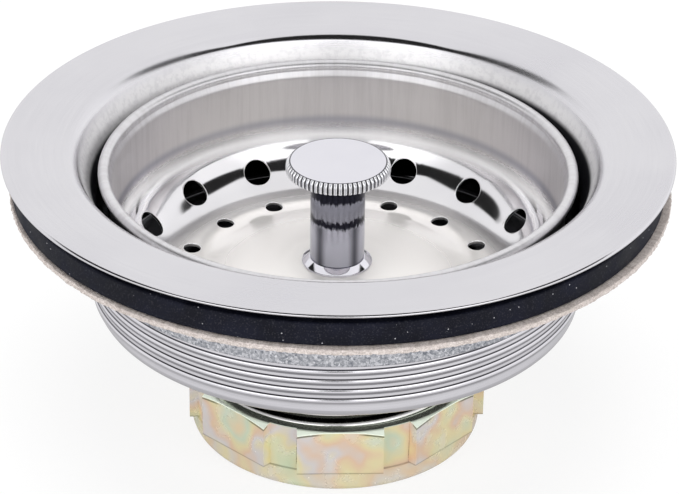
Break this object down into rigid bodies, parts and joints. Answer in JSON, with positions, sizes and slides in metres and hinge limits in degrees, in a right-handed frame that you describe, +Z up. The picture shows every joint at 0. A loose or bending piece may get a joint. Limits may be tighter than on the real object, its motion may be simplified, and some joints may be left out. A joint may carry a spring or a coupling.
{
  "type": "sink strainer",
  "caption": "Round kitchen sink basket strainer: dished flange on a threaded cup, lift-out perforated basket with knob, gasket, washer, locknut and slip nut.",
  "frame": {"origin": "centre of the underside of the slip nut, on which the strainer stands", "axes": "+Z up along the strainer's axis, towards the flange; -Y towards the viewer of the picture"},
  "size_m": [0.1142, 0.1142, 0.0543],
  "materials": {
    "body_steel": "satin stainless, brushed flange, bright rolled thread",
    "basket_steel": "polished stainless with a brushed wall",
    "chrome": "bright chrome plate",
    "spud_metal": "bright turned metal",
    "inner_steel": "plain turned steel",
    "black_rubber": "matt black rubber",
    "fibre": "tan pressed fibre",
    "galvanised_steel": "hot-dip galvanised, spangled",
    "yellow_zinc": "yellow chromate over zinc, iridescent",
    "white_plastic": "natural white polyethylene",
    "bush_brass": "turned brass"
  },
  "bodies": {
    "drain_body": {"strainer_body": "body_steel", "outlet_spud": "spud_metal", "spud_seal": "black_rubber", "crossbar": "inner_steel"},
    "clamp_ring": {"rubber_gasket": "black_rubber", "friction_washer": "fibre"},
    "locknut": {"locknut": "galvanised_steel"},
    "nut_washer": {"tailpiece_washer": "white_plastic"},
    "slip_nut": {"slip_nut": "yellow_zinc"},
    "stopper": {"rubber_stopper": "black_rubber", "stopper_bush": "bush_brass"},
    "basket": {"basket_cup": "basket_steel", "post_sleeve": "chrome", "post_foot": "chrome", "knob": "chrome", "stem": "inner_steel", "backing_washer": "inner_steel", "stopper_retainer": "inner_steel", "lock_washer": "inner_steel", "stem_nut": "inner_steel"}
  },
  "joints": [
    {"name": "basket_lift", "type": "slide", "parent": "drain_body", "child": "stopper", "axis": [0, 0, 1], "range_m": [0, 0.06]},
    {"name": "basket_spin", "type": "hinge", "parent": "stopper", "child": "basket", "pos_m": [0, 0, 0.025], "axis": [0, 0, 1], "continuous": true},
    {"name": "clamp_ring_slide", "type": "slide", "parent": "drain_body", "child": "clamp_ring", "axis": [0, 0, -1], "range_m": [0, 0.01453]},
    {"name": "locknut_turn", "type": "hinge", "parent": "clamp_ring", "child": "locknut", "pos_m": [0, 0, 0.042], "axis": [0, 0, -1], "range_deg": [0, 2880]},
    {"name": "nut_washer_slide", "type": "slide", "parent": "drain_body", "child": "nut_washer", "axis": [0, 0, -1], "range_m": [0, 0.00665]},
    {"name": "slip_nut_turn", "type": "hinge", "parent": "nut_washer", "child": "slip_nut", "pos_m": [0, 0, 0.006], "axis": [0, 0, -1], "range_deg": [0, 1080]}
  ],
  "couplings": [
    {"joint": "clamp_ring_slide", "follows": "locknut_turn", "m_per_rad": 0.00028871},
    {"joint": "nut_washer_slide", "follows": "slip_nut_turn", "m_per_rad": 0.00035157}
  ]
}
